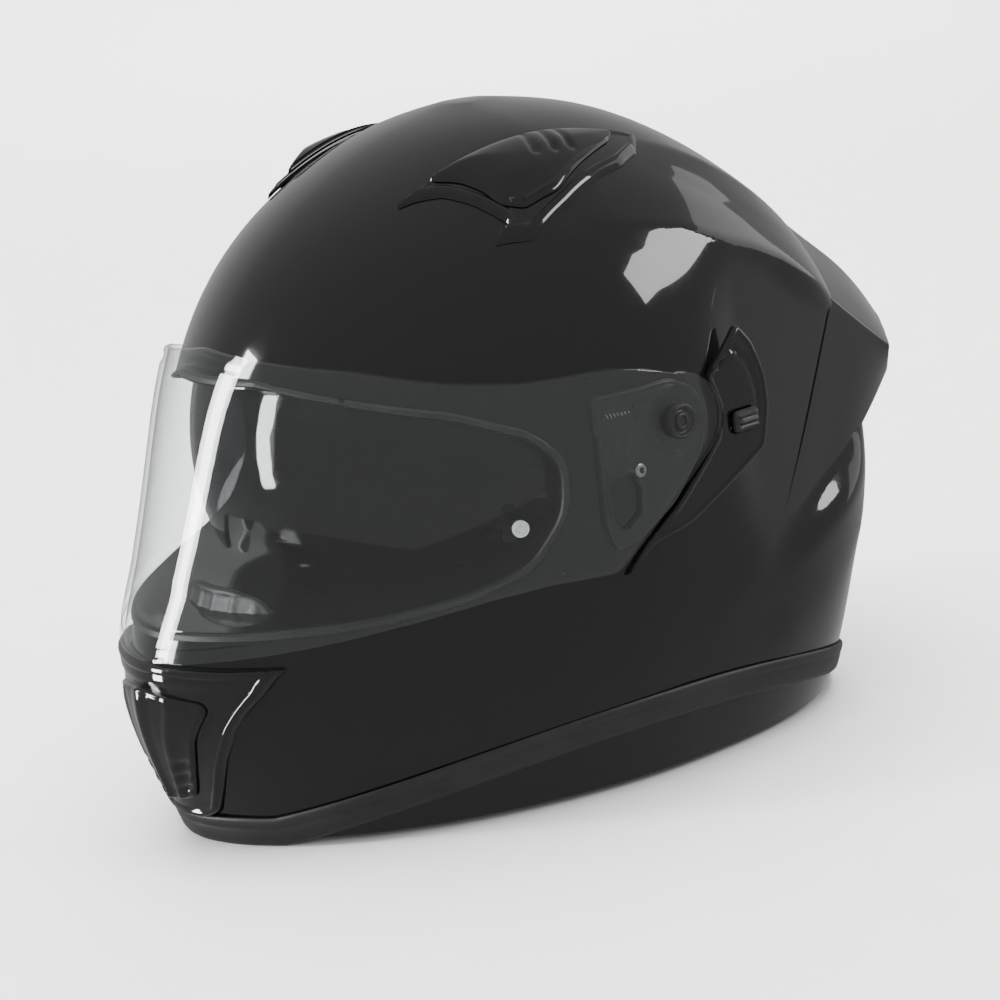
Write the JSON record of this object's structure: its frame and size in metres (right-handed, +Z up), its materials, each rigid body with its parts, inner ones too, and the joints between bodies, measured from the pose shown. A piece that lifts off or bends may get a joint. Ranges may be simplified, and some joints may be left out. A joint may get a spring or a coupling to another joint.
{
  "type": "full-face motorcycle helmet",
  "caption": "Full-face road helmet with clear flip-up visor, drop-down smoke sun visor, sliding vents, rear spoiler, padded liner and strap buckle.",
  "frame": {"origin": "on the resting plane, under the middle of the helmet's bounding box across X and Y as built about the symmetry plane", "axes": "+Z up, the face looks along -Y, +X is the rider's left, X = 0 is the symmetry plane"},
  "size_m": [0.261, 0.3549, 0.264],
  "materials": {
    "gloss_paint": "gloss black two-pack paint over moulded shell",
    "gloss_black": "gloss black moulded plastic",
    "satin_black": "satin black moulded plastic",
    "edge_rubber": "satin black rubber",
    "clear_visor": "clear hard-coated polycarbonate",
    "smoke_visor": "dark smoke polycarbonate",
    "clear_plastic": "translucent white plastic",
    "eps_foam": "black expanded bead foam",
    "liner_fabric": "brushed knit and open mesh fabric",
    "leatherette": "soft grained coated fabric",
    "webbing": "woven webbing",
    "steel": "plated steel",
    "buckle_plastic": "black acetal",
    "lever_red": "red acetal"
  },
  "bodies": {
    "helmet": {"outer_shell": "gloss_paint", "rear_spoiler": "gloss_paint", "rear_exhaust_grille": "satin_black", "rim_trim": "edge_rubber", "eyeport_gasket": "edge_rubber", "chin_vent_base": "gloss_black", "eps_liner": "eps_foam", "eps_chin_liner": "eps_foam", "crown_liner": "liner_fabric", "neck_roll": "leatherette", "breath_guard": "edge_rubber", "chin_curtain": "liner_fabric", "base_plate_screws": "steel", "strap_rivets": "steel", "buckle_housing": "buckle_plastic", "buckle_pin": "steel", "buckle_tongue": "buckle_plastic", "top_vent_base_left": "gloss_black", "top_vent_base_right": "gloss_black", "cheek_pad_left": "liner_fabric", "cheek_pad_right": "liner_fabric", "base_plate_left": "satin_black", "base_plate_right": "satin_black", "visor_hub_left": "satin_black", "visor_hub_right": "satin_black", "latch_spring_left": "steel", "latch_spring_right": "steel", "side_trim_left": "gloss_black", "side_trim_right": "gloss_black", "sun_visor_pivot_left": "satin_black", "sun_visor_pivot_right": "satin_black", "strap_left": "webbing", "strap_right": "webbing", "strap_anchor_left": "steel", "strap_anchor_right": "steel", "strap_pad_left": "leatherette", "strap_pad_right": "leatherette"},
    "visor": {"clear_visor": "clear_visor", "pinlock_pins": "clear_plastic"},
    "sun_visor": {"sun_visor": "smoke_visor"},
    "sun_slider": {"sun_visor_slider": "satin_black"},
    "vent_left": {"top_vent_slider_left": "gloss_black"},
    "vent_right": {"top_vent_slider_right": "gloss_black"},
    "chin_shutter": {"chin_vent_shutter": "gloss_black"},
    "latch_left": {"visor_latch_left": "satin_black"},
    "latch_right": {"visor_latch_right": "satin_black"},
    "buckle_lever": {"buckle_lever": "lever_red"}
  },
  "joints": [
    {"name": "visor_hinge", "type": "hinge", "parent": "helmet", "child": "visor", "pos_m": [0, 0.0015, 0.145], "axis": [-1, 0, 0], "range_deg": [0, 50]},
    {"name": "sun_visor_hinge", "type": "hinge", "parent": "helmet", "child": "sun_visor", "pos_m": [0, -0.0205, 0.135], "axis": [-1, 0, 0], "range_deg": [0, 40]},
    {"name": "sun_slider_slide", "type": "slide", "parent": "helmet", "child": "sun_slider", "axis": [0, 0, 1], "range_m": [0, 0.02]},
    {"name": "vent_left_slide", "type": "hinge", "parent": "helmet", "child": "vent_left", "pos_m": [0.066, 0.0065, 0.12], "axis": [-1, 0, 0], "range_deg": [0, 3.5]},
    {"name": "vent_right_slide", "type": "hinge", "parent": "helmet", "child": "vent_right", "pos_m": [-0.066, 0.0065, 0.12], "axis": [-1, 0, 0], "range_deg": [0, 3.5]},
    {"name": "chin_shutter_slide", "type": "slide", "parent": "helmet", "child": "chin_shutter", "axis": [0, -0.1483, 0.9889], "range_m": [0, 0.003]},
    {"name": "latch_left_slide", "type": "slide", "parent": "helmet", "child": "latch_left", "axis": [-0.165, -0.9863, 0], "range_m": [0, 0.003], "stiffness_N_per_m": 200, "deforming": ["latch_spring_left"]},
    {"name": "latch_right_slide", "type": "slide", "parent": "helmet", "child": "latch_right", "axis": [0.165, -0.9863, 0], "range_m": [0, 0.003], "stiffness_N_per_m": 200, "deforming": ["latch_spring_right"]},
    {"name": "buckle_lever_hinge", "type": "hinge", "parent": "helmet", "child": "buckle_lever", "pos_m": [0.027, -0.0095, 0.0082], "axis": [0, 1, 0], "range_deg": [0, 45], "stiffness_Nm_per_rad": 0.02}
  ],
  "couplings": [
    {"joint": "sun_slider_slide", "follows": "sun_visor_hinge", "m_per_rad": 0.028}
  ]
}
